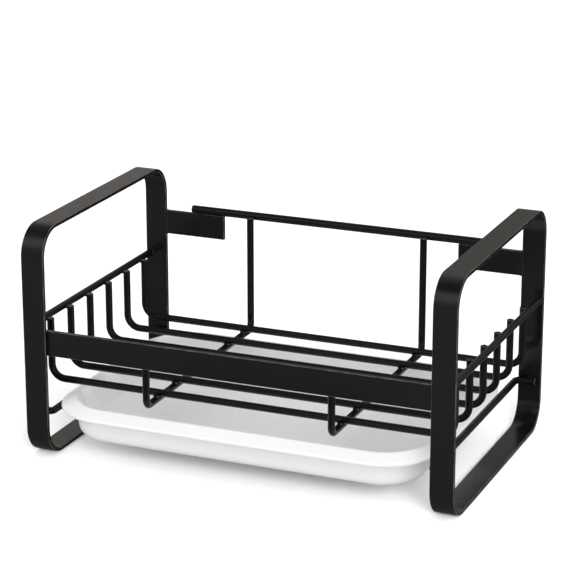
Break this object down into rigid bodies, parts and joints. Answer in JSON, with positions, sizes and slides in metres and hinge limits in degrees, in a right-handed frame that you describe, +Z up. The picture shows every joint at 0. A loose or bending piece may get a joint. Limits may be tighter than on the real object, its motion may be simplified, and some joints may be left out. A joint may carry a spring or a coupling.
{
  "type": "sink caddy",
  "caption": "Countertop sink caddy: bent strip end loops joined by flat rails, a welded wire basket for brushes and bottles, and a moulded drip tray that slides out to the front.",
  "frame": {"origin": "middle of the caddy's bounding box, on the surface that it stands on, with the tray pushed in", "axes": "+X along the caddy's length to the right, +Y to the back, +Z up; the front, where the tray slides out, faces -Y"},
  "size_m": [0.223, 0.1486, 0.118],
  "materials": {
    "black_coat": "satin powder coat",
    "tray_white": "satin moulded white"
  },
  "bodies": {
    "frame": {"left_loop": "black_coat", "right_loop": "black_coat", "front_rail": "black_coat", "left_back_tab": "black_coat", "right_back_tab": "black_coat", "back_rod": "black_coat", "left_side_wire": "black_coat", "right_side_wire": "black_coat", "long_wire_1": "black_coat", "long_wire_2": "black_coat", "long_wire_3": "black_coat", "long_wire_4": "black_coat", "long_wire_5": "black_coat", "long_wire_6": "black_coat", "left_cross_wire": "black_coat", "right_cross_wire": "black_coat", "left_tray_rod": "black_coat", "right_tray_rod": "black_coat"},
    "tray": {"drip_tray": "tray_white"}
  },
  "joints": [
    {"name": "tray_slide", "type": "slide", "parent": "frame", "child": "tray", "axis": [0, -1, 0], "range_m": [0, 0.14]}
  ]
}
